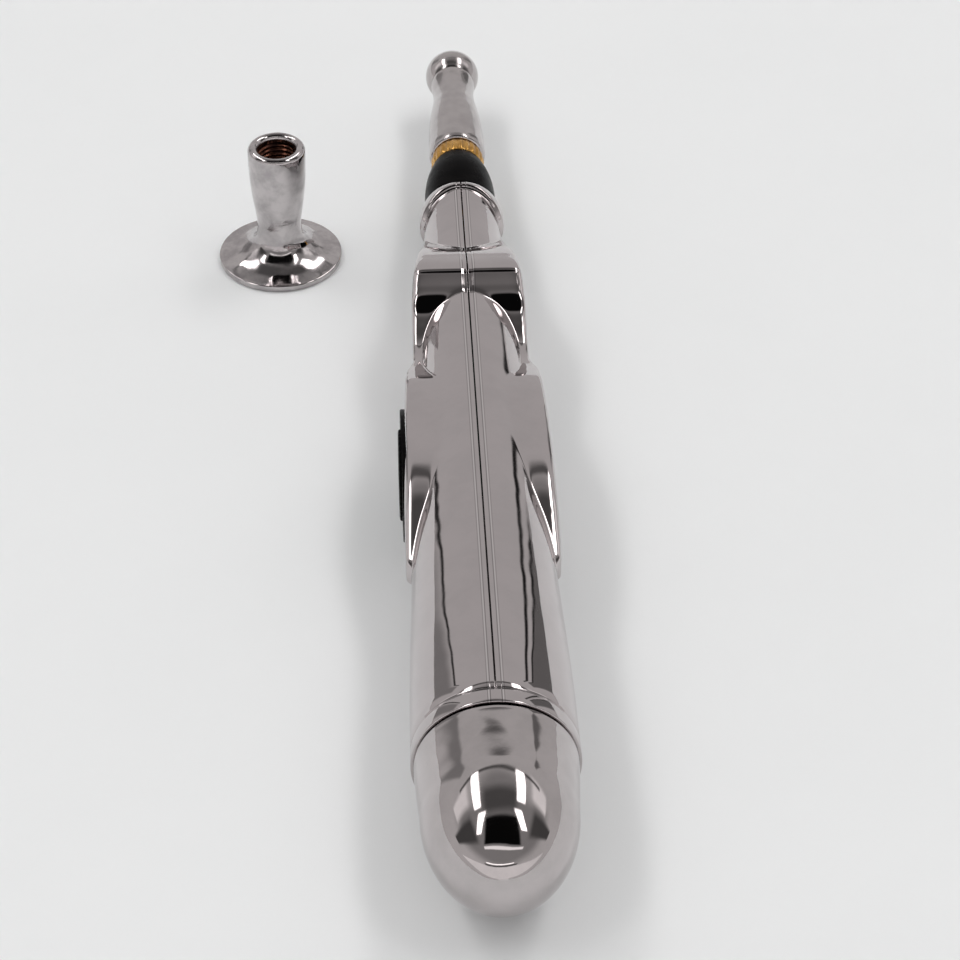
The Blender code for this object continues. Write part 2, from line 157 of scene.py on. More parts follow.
def piece(name, mesh_maker, place, body, look, *replaced, sharp_deg=35):
    """Makes an object from a bmesh in mm, riding on a body and standing for the replaced CAD pieces."""
    bmesh.ops.recalc_face_normals(mesh_maker, faces=mesh_maker.faces)
    bmesh.ops.transform(mesh_maker, matrix=place @ Matrix.Scale(MM, 4), verts=mesh_maker.verts)
    mesh = bpy.data.meshes.new(name)
    mesh_maker.to_mesh(mesh)
    mesh_maker.free()
    mesh.materials.append(look)
    mesh.shade_smooth()
    mesh.set_sharp_from_angle(angle=math.radians(sharp_deg))
    obj = bpy.data.objects.new(name, mesh)
    bpy.context.scene.collection.objects.link(obj)
    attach(obj, body)
    if replaced:
        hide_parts(*replaced)
    return obj


def rounded(profile, steps=5):
    """A profile of (station, radius[, rounding]) points, with an arc at each corner that has a rounding."""
    made = []
    for k, point in enumerate(profile):
        if len(point) == 2 or not 0 < k < len(profile) - 1:
            made.append(Vector(point[:2]))
            continue
        here = Vector(point[:2])
        back = Vector(profile[k - 1][:2]) - here
        ahead = Vector(profile[k + 1][:2]) - here
        half = back.angle(ahead) / 2
        reach = min(point[2] / math.tan(half), back.length * 0.49, ahead.length * 0.49)
        radius = reach * math.tan(half)
        inwards = (back.normalized() + ahead.normalized()).normalized()
        centre = here + inwards * (radius / math.sin(half))
        start = here + back.normalized() * reach - centre
        end = here + ahead.normalized() * reach - centre
        turn = start.angle_signed(end)
        for j in range(steps + 1):
            made.append(centre + Matrix.Rotation(-turn * j / steps, 2) @ start)
    return [(p.x, p.y) for p in made]


def turned(profile, steps=96, axis="Y"):
    """A bmesh turned about the axis: a closed ring unless the profile starts and ends on the axis."""
    bm = bmesh.new()
    directions = {"Y": lambda s, r: (r, s, 0), "Z": lambda s, r: (r, 0, s), "X": lambda s, r: (s, r, 0)}
    verts = [bm.verts.new(directions[axis](s, r)) for s, r in profile]
    on_axis = profile[0][1] == 0 and profile[-1][1] == 0
    for a, b in zip(verts, verts[1:] if on_axis else verts[1:] + verts[:1]):
        bm.edges.new((a, b))
    centre_line = {"X": (1, 0, 0), "Y": (0, 1, 0), "Z": (0, 0, 1)}[axis]
    bmesh.ops.spin(bm, geom=bm.verts[:] + bm.edges[:], cent=(0, 0, 0), axis=centre_line, angle=2 * math.pi,
                   steps=steps, use_merge=True)
    bmesh.ops.remove_doubles(bm, verts=bm.verts, dist=1e-5)
    return bm


def lofted(rings, closed=False):
    """A bmesh skinned over rings with the same count of points: capped at its ends, or closed."""
    bm = bmesh.new()
    made = [[bm.verts.new(p) for p in ring] for ring in rings]
    count = len(made[0])
    pairs = list(zip(made, made[1:] + made[:1])) if closed else list(zip(made, made[1:]))
    for a, b in pairs:
        for k in range(count):
            bm.faces.new((a[k], a[(k + 1) % count], b[(k + 1) % count], b[k]))
    if not closed:
        bm.faces.new(made[0])
        bm.faces.new(made[-1])
    return bm


def ribbed(profile, steps, period, axis="Y", closed=False):
    """A bmesh turned from (station, radius, depth) points that dips by the depth every period columns."""
    rings = []
    for station, radius, depth in profile:
        ring = []
        for k in range(steps):
            a = 2 * math.pi * k / steps
            reach = radius - depth * (0.5 + 0.5 * math.cos(2 * math.pi * k / period))
            point = (reach * math.cos(a), reach * math.sin(a))
            ring.append((point[0], station, point[1]) if axis == "Y" else (station, *point))
        rings.append(ring)
    return lofted(rings, closed)


def coil(turns, start, end, reach, taper, thickness):
    """A bmesh of round wire wound about the pen's axis, from a wide first turn to a narrower last one."""
    steps, corners = turns * 40, 10
    sides = [2 * math.pi * j / corners for j in range(corners)]
    rings = []
    for k in range(steps + 1):
        u = k / steps
        a = 2 * math.pi * turns * u
        out = Vector((math.cos(a), 0, math.sin(a)))
        middle = out * (reach - taper * u) + Vector((0, start + (end - start) * u, 0))
        rings.append([middle + thickness * (out * math.cos(b) + Vector((0, math.sin(b), 0))) for b in sides])
    return lofted(rings)


def thread_ring(station, radius, depth, steps=72):
    """One cross-section of a screw thread: as it turns, the radius follows a V that is blunt at both ends."""
    steepness, blunted = 1.35, 0.2
    turn = np.arange(steps) / steps
    phase = (station / THREAD_PITCH - turn) % 1
    cut = np.clip(steepness * np.abs(2 * phase - 1) - blunted, 0, 1)
    reach = radius + depth * cut * cut * (3 - 2 * cut)
    angles = [2 * math.pi * u for u in turn]
    return [(r * math.cos(a), station, r * math.sin(a)) for r, a in zip(reach, angles)]


def threaded_sleeve(start, end, steps=72):
    """A sleeve for a head's socket, plain outside and with a screw thread inside."""
    turns = [2 * math.pi * k / steps for k in range(steps)]
    rings = [[(SLEEVE_RADIUS * math.cos(a), s, SLEEVE_RADIUS * math.sin(a)) for a in turns]
             for s in (start, end)]
    for station in np.arange(end, start, -THREAD_PITCH / 10):
        rings.append(thread_ring(station, BORE_RADIUS, THREAD_DEPTH, steps))
    return lofted(rings, closed=True)


# ---------------------------------------------------------------- casing halves


def casing_stations():
    """Stations of the casing's cross-sections: dense where its shape turns quickly."""
    runs = [(25.4, 60, 1.2), (60, 70, 0.25), (70, 99, 0.5), (99, 112, 0.3), (112, 125, 0.18),
            (125, 146, 0.35), (146, SHELL_END - 0.6, 0.12)]
    stations = [SHELL_START + s for s in (0, 0.03, 0.09, 0.18, REAR_LIP)]
    for start, end, step in runs:
        stations += list(np.arange(start, end, step))
    return np.array(stations + [SHELL_END - 0.5, SHELL_END - 0.25, SHELL_END - 0.1, SHELL_END])


def casing_radius(station, angle):
    """Distance from the axis to the casing's outer surface at a station and at an angle up from its side."""
    neck = smooth_curve(BARREL, station)
    step = RIM_TOP - RIM_SLOPE * np.cos(angle) ** 2
    rise = np.clip((station - step + RIM_BLEND) / (2 * RIM_BLEND), 0, 1)
    barrel = neck + (smooth_curve(RIM, station) - neck) * rise**2 * (3 - 2 * rise)
    width = smooth_curve(LOBE_WIDTH, station)
    height = smooth_curve(LOBE_HEIGHT, station)
    power = smooth_curve(CORNER_POWER, station)
    lobe = ((np.cos(angle) / width) ** power + (np.sin(angle) / height) ** power) ** (-1 / power)
    has_lobe = (station > LOBE_HEIGHT[0][0]) & (station < LOBE_HEIGHT[-1][0])
    lobe = np.where(has_lobe, lobe, barrel * 0.5)
    radius = barrel * (1 + (lobe / barrel) ** BLEND_POWER) ** (1 / BLEND_POWER)
    on_crest = np.clip(station - CREST_LAND[0], 0, 1) * np.clip(CREST_LAND[1] - station, 0, 1)
    ramp = LAND_RAMP + CREST_RAMP * on_crest
    from_seam = np.clip((LAND_WIDTH + ramp / 2 - np.abs(radius * np.cos(angle))) / ramp, 0, 1)
    land = (LAND_DEPTH + CREST_DEPTH * on_crest) * from_seam
    lip = np.clip(1 - (station - SHELL_START) / REAR_LIP, 0, 1)
    return radius - land - REAR_LIP * (1 - np.sqrt(1 - lip**2))


def casing_angles(station, last, count):
    """Angles of a quadrant's columns, crowded at the lobe's corner, at its foot and beside the seam."""
    barrel = barrel_radius(station)
    height = smooth_curve(LOBE_HEIGHT, station)
    corner = math.atan2(height, smooth_curve(LOBE_WIDTH, station))
    meeting = math.asin(min(height / barrel, 0.999))
    land_edge = math.pi / 2 - LAND_WIDTH / barrel
    fine = np.linspace(0, last, 400)
    density = 1
    for place, crowding, spread in ((corner, 7, 0.06), (meeting, 5, 0.07), (land_edge, 8, 0.025)):
        density = density + crowding * np.exp(-((fine - place) / spread) ** 2)
    total = np.concatenate([[0], np.cumsum((density[1:] + density[:-1]) / 2)])
    return np.interp(np.linspace(0, total[-1], count), total, fine)


def casing_half(side, columns=72, inner_columns=24):
    """One half of the casing as a bmesh: its cross-section, a closed C, swept along the stations."""
    loops = []
    for station in casing_stations():
        top = float(casing_radius(station, math.pi / 2))
        last = math.acos((SEAM / 2 + SEAM_EDGE) / top)
        angles = casing_angles(station, last, columns)
        radii = casing_radius(station, angles)
        x, z = radii * np.cos(angles), radii * np.sin(angles)
        turn = np.linspace(0, math.pi / 2, 5)[1:]
        x = np.concatenate([x, SEAM / 2 + SEAM_EDGE * (1 - np.sin(turn))])
        z = np.concatenate([z, z[-1] - SEAM_EDGE * (1 - np.cos(turn))])
        inner = min(float(barrel_radius(station)) - WALL, INNER_MOST)
        if station > BARREL[-1][0]:
            inner = BARREL[-1][1] - WALL
        inner_last = math.acos(SEAM / 2 / inner)
        inner_angles = np.linspace(-inner_last, inner_last, inner_columns)
        loop_x = np.concatenate([x[::-1], x[1:], inner * np.cos(inner_angles)])
        loop_z = np.concatenate([z[::-1], -z[1:], inner * np.sin(inner_angles)])
        loops.append(np.column_stack([side * loop_x, np.full(len(loop_x), station), loop_z]))
    return lofted(loops)


def cut(obj, cutter_maker, place):
    """Cuts a shape in mm out of an object, for good."""
    bmesh.ops.recalc_face_normals(cutter_maker, faces=cutter_maker.faces)
    bmesh.ops.transform(cutter_maker, matrix=place @ Matrix.Scale(MM, 4), verts=cutter_maker.verts)
    mesh = bpy.data.meshes.new("cutter")
    cutter_maker.to_mesh(mesh)
    cutter_maker.free()
    cutter = bpy.data.objects.new("cutter", mesh)
    bpy.context.scene.collection.objects.link(cutter)
    change = obj.modifiers.new("cut", "BOOLEAN")
    change.operation = "DIFFERENCE"
    change.object = cutter
    bpy.context.view_layer.update()
    evaluated = obj.evaluated_get(bpy.context.evaluated_depsgraph_get())
    result = bpy.data.meshes.new_from_object(evaluated)
    obj.modifiers.clear()
    obj.data = result
    bpy.data.objects.remove(cutter)


def oval_slab(length, height, low, high, steps=96):
    """An oval in the side plane, between x = low and x = high, in mm about the dial's axis."""
    bm = bmesh.new()
    turns = [2 * math.pi * k / steps for k in range(steps)]
    near = [bm.verts.new((low, length / 2 * math.cos(a), height / 2 * math.sin(a))) for a in turns]
    far = [bm.verts.new((high, v.co.y, v.co.z)) for v in near]
    bm.faces.new(near)
    bm.faces.new(far)
    for k in range(steps):
        bm.faces.new((near[k - 1], near[k], far[k], far[k - 1]))
    return bm


def make_casing(chrome):
    """The two halves, with the dial's pocket, the shaft's hole and the lamp's hole cut into the left one."""
    piece("casing_right", casing_half(1), PEN, "pen_body", chrome, "right_shell", sharp_deg=CASING_SHARP)
    left = piece("casing_left", casing_half(-1), PEN, "pen_body", chrome, "left_shell",
                 sharp_deg=CASING_SHARP)
    outside, inside, beyond_lens, behind_lens = -13, -5, -11, -4  # how far out the cutters start and end
    pocket = oval_slab(BEZEL_LENGTH + 2 * THIN_GAP, BEZEL_HEIGHT + 2 * THIN_GAP, outside, -POCKET_FLOOR)
    shaft_hole = [(outside, 0), (outside, SHAFT_HOLE), (inside, SHAFT_HOLE), (inside, 0)]
    lens_hole = [(beyond_lens, 0), (beyond_lens, LENS_HOLE), (behind_lens, LENS_HOLE), (behind_lens, 0)]
    cut(left, pocket, DIAL)
    cut(left, turned(shaft_hole, 48, "X"), DIAL)
    cut(left, turned(lens_hole, 40, "X"), LAMP)
    left.data.set_sharp_from_angle(angle=math.radians(CASING_SHARP))


# ---------------------------------------------------------------- turned pieces


def make_tail(chrome, cap_chrome):
    """The ring behind the casing with its spigot, and the long domed cap that closes over it."""
    band = [(17.6, SPIGOT_BORE), (17.6, SPIGOT_RADIUS - 0.1), (BAND_START, SPIGOT_RADIUS - 0.1),
            (BAND_START, BAND_RADIUS, 0.15), (BAND_END, BAND_RADIUS, 0.15), (BAND_END, SPIGOT_RADIUS),
            (29.0, SPIGOT_RADIUS), (29.0, SPIGOT_BORE)]
    piece("joint_ring", turned(rounded(band), 128), PEN, "pen_body", chrome, "tail_band")
    dome = [(DOME_AT - (DOME_AT - CAP_TIP) * math.cos(a), DOME_RADIUS * math.sin(a))
            for a in np.linspace(0, math.pi / 2, 40)]
    dome[0] = (CAP_TIP, 0.0)
    flare = [(DOME_AT, DOME_RADIUS), (17.5, 10.5), (CAP_END, 10.8)]
    skirt = [(t, float(smooth_curve(flare, t))) for t in np.linspace(14, CAP_END - 0.6, 14)]
    edge = [(CAP_END, 10.83, 0.2), (CAP_END, CAP_BORE), (17.2, CAP_BORE), (17.2, SPIGOT_BORE),
            (11.0, SPIGOT_BORE), (7.6, 7.4), (5.4, 5.6), (5.4, 0.0)]
    piece("end_cap", turned(rounded(dome + skirt + edge), 128), PEN, "cap", cap_chrome, "battery_cap")


def make_tip(chrome, gloss_black, brass, copper):
    """The black cone, the ribbed brass ring, the ball head with its threaded sleeve, and the stud's screw."""
    cone = [(149.2, BORE_RADIUS), (149.2, 4.4), (SHELL_END + GAP, 4.4), (SHELL_END + GAP, 5.65, 0.15)]
    sweep = [(SHELL_END + GAP, 5.65), (156.0, 5.6), (158.8, 5.4), (161.0, 5.05), (162.8, 4.6), (164.0, 4.25)]
    cone += [(t, float(smooth_curve(sweep, t))) for t in np.linspace(SHELL_END + 0.8, 164.0, 26)]
    cone += [(CONE_END, 4.1, 0.15), (CONE_END, BORE_RADIUS)]
    piece("insulating_cone", turned(rounded(cone), 96), PEN, "pen_body", gloss_black, "nose_cone")

    collar = [(COLLAR_START, BORE_RADIUS, 0), (COLLAR_START, COLLAR_RADIUS - 0.45, 0)]
    middle = (COLLAR_START + COLLAR_END) / 2
    reach = (COLLAR_END - COLLAR_START) / 2 - 0.05
    bulge, rib_depth = 0.3, 0.28
    for a in [math.pi * k / 8 for k in range(9)]:
        swell = bulge * math.sin(a)
        collar.append((middle - reach * math.cos(a), COLLAR_RADIUS - bulge + swell, rib_depth * math.sin(a)))
    collar += [(COLLAR_END, COLLAR_RADIUS - 0.45, 0), (COLLAR_END, BORE_RADIUS, 0)]
    piece("seat_ring", ribbed(collar, 168, 7, closed=True), PEN, "pen_body", brass, "brass_collar")

    neck = [(169.2, 4.55), (172, 4.5), (176, 4.36), (179.5, 4.1), (182.5, 3.72), (185, 3.42), (187, 3.34),
            (189, 3.45), (190.6, 3.65)]
    outside = [(t, float(smooth_curve(neck, t))) for t in np.linspace(169.2, 190.3, 40)]
    ball = [(BALL_CENTRE + BALL_RADIUS * math.cos(a), BALL_RADIUS * math.sin(a))
            for a in np.linspace(math.radians(126), 0, 40)]
    ball[-1] = (BALL_CENTRE + BALL_RADIUS, 0.0)
    mouth = [(178.4, 0.0), (178.4, HEAD_SOCKET), (169.0, HEAD_SOCKET), (169.0, HEAD_MOUTH),
             (HEAD_START, HEAD_MOUTH, 0.15), (HEAD_START, 4.35, 0.5)]
    piece("ball_end", turned(rounded(mouth + outside + ball), 112), PEN, "ball_end", chrome, "ball_head")
    piece("ball_end_thread", threaded_sleeve(169.3, 178.1), PEN, "ball_end", copper, "ball_head_insert")

    root = STUD_RADIUS - STUD_THREAD_DEPTH
    rings = [thread_ring(s, root, 0.0) for s in (144.9, 145.2, 167.9)]
    rings += [thread_ring(s, root, STUD_THREAD_DEPTH) for s in np.arange(168.2, 176.0, THREAD_PITCH / 10)]
    rings += [thread_ring(s, r, 0.0) for s, r in ((176.1, root), (176.6, STUD_RADIUS - 0.7))]
    piece("stud_screw", lofted(rings), PEN, "pen_body", brass, "threaded_stud")


def make_dial(black, lens):
    """The round knob with its gripping ribs, the oval plate round it, and the lamp's window."""
    back = POCKET_FLOOR + THIN_GAP
    face, rim = -DIAL_FACE, KNOB_RADIUS
    knob = [(face + 0.8, 0.02, 0), (face + 0.8, 3.3, 0), (-back, 3.3, 0), (-back, rim - 0.1, 0),
            (-back - 0.1, rim, 0), (-back - 0.25, rim, 0.05), (-back - 0.35, rim, 0.22),
            (face + 0.25, rim - 0.02, 0.22), (face + 0.12, rim - 0.1, 0.15), (face + 0.03, rim - 0.25, 0.05),
            (face, rim - 0.45, 0), (face, rim - 1.2, 0), (face + 0.05, rim - 1.4, 0),
            (face + 0.16, rim - 1.6, 0), (face + 0.2, 2.0, 0), (face + 0.16, 0.02, 0)]
    piece("dial_grip", ribbed(knob, 240, 6, "X"), DIAL, "dial", black, "dial_knob")

    rings = []
    well = KNOB_RADIUS + GAP
    for x, inset, bore in ((-back, 0.0, None), (-BEZEL_FACE + 0.2, 0.0, None),
                           (-BEZEL_FACE + 0.06, 0.06, None), (-BEZEL_FACE, 0.2, None),
                           (-BEZEL_FACE, None, well + 0.08), (-BEZEL_FACE + 0.08, None, well),
                           (-back, None, well)):
        ring = []
        for k in range(144):
            a = 2 * math.pi * k / 144
            along = bore or BEZEL_LENGTH / 2 - inset
            across = bore or BEZEL_HEIGHT / 2 - min(inset, 0.1)
            ring.append((x, along * math.cos(a), across * math.sin(a)))
        rings.append(ring)
    piece("dial_plate", lofted(rings, closed=True), DIAL, "pen_body", black, "dial_bezel")

    window = [(-LENS_FACE - 0.1, 0), (-LENS_FACE - 0.07, 0.8), (-LENS_FACE, 1.5, 0.1), (-6.7, 1.5), (-6.7, 0)]
    piece("lamp_window", turned(rounded(window), 64, "X"), LAMP, "pen_body", lens, "led_lens")


def make_cell(sleeve, nickel):
    """The battery cell with its crimped shoulder, its raised contact, and the cap's spring behind it."""
    rear, front = CELL_START, CELL_START + CELL_LENGTH
    groove = CELL_RADIUS - 0.2
    can = [(rear, 0), (rear, 5.4, 0.2), (rear + 0.8, CELL_RADIUS, 0.4), (front - 3.0, CELL_RADIUS, 0.3),
           (front - 2.7, groove, 0.3), (front - 2.2, groove, 0.3), (front - 1.9, CELL_RADIUS, 0.3),
           (front - 0.6, CELL_RADIUS, 0.4), (front, 5.8, 0.2), (front, 0)]
    piece("cell_can", turned(rounded(can)), PEN, "cell", sleeve, "battery_can")
    button = [(front + THIN_GAP, 0), (front + THIN_GAP, 2.6, 0.05), (front + 1.5, 2.6, 0.35),
              (front + 1.5, 0)]
    piece("cell_button", turned(rounded(button), 64), PEN, "cell", nickel, "battery_button")
    wire = coil(turns=4, start=6.8, end=CELL_START - 0.7, reach=4.3, taper=1.3, thickness=0.35)
    piece("contact_spring", wire, PEN, "cap", nickel, "cap_spring")


def make_loose_head(chrome, copper):
    """The spare head, standing on its disc with its threaded mouth up."""
    top = loose_high.z / MM - loose_low.z / MM
    disc = [(1.1, 9.4), (1.3, 8.6), (1.58, 7.6), (1.95, 6.7), (2.35, 5.9), (2.85, 5.12), (3.4, 4.5),
            (4.0, 4.05), (4.8, 3.72), (5.8, 3.54), (6.8, 3.49), (7.8, 3.55), (9.4, 3.75), (12.4, 4.15),
            (16.0, 4.45), (top - 1.4, 4.55)]
    heights = np.concatenate([np.linspace(1.1, 5, 50), np.linspace(5.2, top - 1.4, 40)])
    profile = [(0.0, 0.0), (0.0, 9.78, 0.3), (1.05, 9.78, 0.35)]
    profile += [(s, float(smooth_curve(disc, s))) for s in heights]
    lip = [(top - 0.9 + 0.9 * math.sin(a), 3.75 + 0.8 * math.cos(a))
           for a in np.linspace(0.15, math.pi * 0.97, 16)]
    bore = [(top - 1.2, HEAD_MOUTH), (top - 1.2, HEAD_SOCKET), (top - 10.4, HEAD_SOCKET), (top - 10.4, 0.0)]
    piece("disc_end", turned(rounded(profile + lip + bore), 128, "Z"), LOOSE, "loose_disc_end", chrome,
          "spare_disc_head")
    upright = LOOSE @ Matrix.Rotation(math.pi / 2, 4, "X")
    sleeve = threaded_sleeve(top - 10.1, top - 1.5)
    piece("disc_end_thread", sleeve, upright, "loose_disc_end", copper, "spare_head_insert")


# ---------------------------------------------------------------- materials


class Nodes:
    """Short calls that add nodes to one node tree and return their output sockets."""

    def __init__(self, tree):
        self.tree = tree

    def add(self, kind, **settings):
        node = self.tree.nodes.new(kind)
        for name, value in settings.items():
            setattr(node, name, value)
        return node

    def feed(self, node, **inputs):
        """Sets or links inputs, named with _ for a space, or i and a number for the input at that place."""
        for name, value in inputs.items():
            socket = node.inputs[int(name[1:])] if name[1:].isdigit() else node.inputs[name.replace("_", " ")]
            if isinstance(value, bpy.types.NodeSocket):
                self.tree.links.new(value, socket)
            else:
                socket.default_value = value
        return node.outputs[0]

    def math(self, operation, first, second=0.0, third=0.0):
        node = self.add("ShaderNodeMath", operation=operation)
        return self.feed(node, i0=first, i1=second, i2=third)

    def remap(self, value, low, high, to_low=0.0, to_high=1.0):
        node = self.add("ShaderNodeMapRange", interpolation_type="SMOOTHSTEP")
        return self.feed(node, i0=value, i1=low, i2=high, i3=to_low, i4=to_high)

    def place(self, stretch=(1, 1, 1)):
        coordinates = self.add("ShaderNodeTexCoord").outputs["Object"]
        return self.feed(self.add("ShaderNodeMapping"), Vector=coordinates, Scale=stretch)

    def noise(self, scale, detail=2.0, roughness=0.5, stretch=(1, 1, 1)):
        node = self.add("ShaderNodeTexNoise")
        return self.feed(node, Vector=self.place(stretch), Scale=scale, Detail=detail, Roughness=roughness)

    def tint(self, factor, first, second):
        """The first colour where the factor is 0 and the second where it is 1; each a tuple or a socket."""
        node = self.add("ShaderNodeMix", data_type="RGBA")
        first, second = [c if isinstance(c, bpy.types.NodeSocket) else (*c, 1.0)
                         for c in (first, second)]
        self.feed(node, i0=factor, i6=first, i7=second)
        return node.outputs[2]

    def beside_seam(self, near, far, soft=0.02):
        """1 between two distances in mm from the plane of the casing's seam, and 0 elsewhere: the mask of the
        lines of painted shade and painted highlight beside the seam.
        """
        parts = self.add("ShaderNodeSeparateXYZ")
        self.feed(parts, Vector=self.place())
        across = self.math("DIVIDE", self.math("SUBTRACT", parts.outputs[0], pen_origin.x), MM)
        away = self.math("ABSOLUTE", across)
        rise = self.remap(away, near - soft, near + soft)
        return self.math("MULTIPLY", rise, self.remap(away, far - soft, far + soft, 1.0, 0.0))

    def bump(self, height, distance, below=None):
        node = self.add("ShaderNodeBump")
        self.feed(node, Strength=1.0, Distance=distance, Height=height)
        if below is not None:
            self.tree.links.new(below, node.inputs["Normal"])
        return node.outputs[0]


def new_material(name, slot, colour, metallic, roughness):
    """A Principled material for one of the record's slots, the calls that add to it, and its inputs."""
    made = bpy.data.materials.new(name)
    made["slot"] = slot
    made.use_nodes = True
    shader = made.node_tree.nodes["Principled BSDF"]
    shader.inputs["Base Color"].default_value = (*colour, 1.0)
    shader.inputs["Metallic"].default_value = metallic
    shader.inputs["Roughness"].default_value = roughness
    return made, Nodes(made.node_tree), shader.inputs


def surface(name, slot, light, dark, metallic, smooth, rough, mottle=250, wave=0.0, wave_scale=120, grain=0.0,
            grain_scale=3000, stretch=(1, 1, 1), specular=0.5, seam_shade_and_highlight=()):
    """A finish that drifts in patches from light and smooth to dark and rough, with a waviness and a grain.

    mottle, wave_scale and grain_scale are the noises' scales. wave and grain are heights in metres.
    The last argument holds the (nearest, furthest, colour) of lines painted beside the casing's seam, as
    painted shade and painted highlight.
    """
    made, n, inputs = new_material(name, slot, light, metallic, smooth)
    inputs["Specular IOR Level"].default_value = specular
    patches = n.remap(n.noise(mottle, 4.0, 0.6), 0.35, 0.7)
    link = made.node_tree.links.new
    colour = n.tint(patches, light, dark)
    # Painted shade and painted highlight: darker and lighter lines of colour beside the casing's seam.
    for near, far, line in seam_shade_and_highlight:
        colour = n.tint(n.beside_seam(near, far), colour, line)
    link(colour, inputs["Base Color"])
    link(n.math("MULTIPLY_ADD", patches, rough - smooth, smooth), inputs["Roughness"])
    normal = None
    if wave:
        normal = n.bump(n.noise(wave_scale, 1.0, 0.4), wave)
    if grain:
        normal = n.bump(n.noise(grain_scale, 2.0, 0.5, stretch), grain, below=normal)
    if normal is not None:
        link(normal, inputs["Normal"])
    return made


def make_materials():
    """Every finish by name: light and dark colour, metallic, smooth and rough, mottle, waves and grain."""
    along = (1, 0.02, 1)
    ring = (0.001, 1, 0.001)
    # Beside the seam's step: a dark line of painted shade in the step, a light line of painted highlight, and
    # a further dark line of painted reflection.
    seam_shade_and_highlight = ((0.68, 0.8, (0.3, 0.28, 0.28)), (0.86, 0.98, (0.66, 0.63, 0.63)),
                  (1.06, 1.14, (0.36, 0.335, 0.335)))
    return {
        "chrome": surface(
            "plated_chrome", "casing_chrome", (0.53, 0.492, 0.494), (0.5, 0.466, 0.468), 1.0, 0.025, 0.06,
            180, wave=0.00005, wave_scale=130, grain=0.0000004, grain_scale=2500, seam_shade_and_highlight=seam_shade_and_highlight),
        "dome": surface(
            "plated_cap", "casing_chrome", (0.53, 0.495, 0.495), (0.48, 0.45, 0.45), 1.0, 0.02, 0.07, 220,
            wave=0.00011, wave_scale=190, grain=0.0000008, grain_scale=2500),
        "satin": surface(
            "plated_head", "head_chrome", (0.53, 0.5, 0.497), (0.45, 0.42, 0.42), 1.0, 0.12, 0.2, 260,
            wave=0.00006, wave_scale=240, grain=0.000001, grain_scale=4000),
        "cast": surface(
            "plated_cast_head", "head_chrome", (0.56, 0.53, 0.53), (0.4, 0.375, 0.38), 1.0, 0.06, 0.16, 380,
            wave=0.00024, wave_scale=230, grain=0.000003, grain_scale=2600),
        "black": surface(
            "polished_black", "gloss_black", (0.002, 0.0018, 0.002), (0.004, 0.0036, 0.0036), 0.0, 0.2, 0.38,
            300, grain=0.000002, grain_scale=2500, specular=0.02),
        "brass": surface(
            "turned_brass", "brass", (0.76, 0.44, 0.13), (0.42, 0.22, 0.05), 1.0, 0.22, 0.42, 500,
            grain=0.000012, grain_scale=5000, stretch=ring),
        # Copper held very dark: the copper's own tint, darkened with painted shade of the sockets' insides
        # where the threaded sleeves sit.
        "copper": surface(
            "copper_lining", "copper_thread", (0.17, 0.07, 0.045), (0.04, 0.02, 0.018), 1.0, 0.22, 0.42, 700,
            grain=0.000006, grain_scale=4000),
        "steel": surface(
            "stamped_steel", "steel", (0.6, 0.6, 0.6), (0.45, 0.45, 0.46), 1.0, 0.25, 0.4, 400,
            grain=0.000004, grain_scale=3000, stretch=along),
        "nickel": surface(
            "bright_nickel", "nickel", (0.68, 0.66, 0.62), (0.55, 0.53, 0.5), 1.0, 0.12, 0.25, 500,
            grain=0.000002, grain_scale=3000),
        "natural": surface(
            "bare_plastic", "natural_plastic", (0.74, 0.73, 0.69), (0.66, 0.64, 0.6), 0.0, 0.4, 0.55, 200,
            grain=0.000008, grain_scale=2500),
        "ferrite": surface(
            "sintered_ferrite", "ferrite", (0.06, 0.06, 0.062), (0.03, 0.03, 0.032), 0.0, 0.5, 0.75, 900,
            grain=0.00003, grain_scale=3500),
        "component": surface(
            "moulded_component", "component_black", (0.025, 0.025, 0.027), (0.04, 0.04, 0.042), 0.0, 0.4, 0.6,
            600, grain=0.00001, grain_scale=5000),
        "lead": surface(
            "insulated_lead", "lead_red", (0.5, 0.02, 0.02), (0.38, 0.015, 0.015), 0.0, 0.35, 0.5, 800,
            grain=0.000006, grain_scale=2500, stretch=along),
        "sleeve": banded_sleeve(),
        "board": circuit_board(),
        "winding": copper_winding(),
        "lens": red_lens(),
    }


def banded_sleeve():
    """The cell's film sleeve: dark blue with one plain copper-coloured band, and no lettering."""
    made, n, inputs = new_material("cell_film", "cell_sleeve", (0.03, 0.06, 0.16), 0.0, 0.25)
    link = made.node_tree.links.new
    parts = n.add("ShaderNodeSeparateXYZ")
    n.feed(parts, Vector=n.place())
    low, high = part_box("battery_can")
    band_share, softness = 0.24, 0.0001
    edge = high.y - (high.y - low.y) * band_share
    band = n.remap(parts.outputs[1], edge - softness, edge + softness)
    scuffs = n.remap(n.noise(700, 4.0, 0.6, (1, 0.15, 1)), 0.5, 0.75)
    link(n.tint(band, (0.02, 0.045, 0.13), (0.55, 0.27, 0.1)), inputs["Base Color"])
    link(n.math("MULTIPLY_ADD", band, 0.9, 0.0), inputs["Metallic"])
    link(n.math("MULTIPLY_ADD", scuffs, 0.2, 0.22), inputs["Roughness"])
    link(n.bump(n.noise(900, 2.0), 0.000006), inputs["Normal"])
    return made


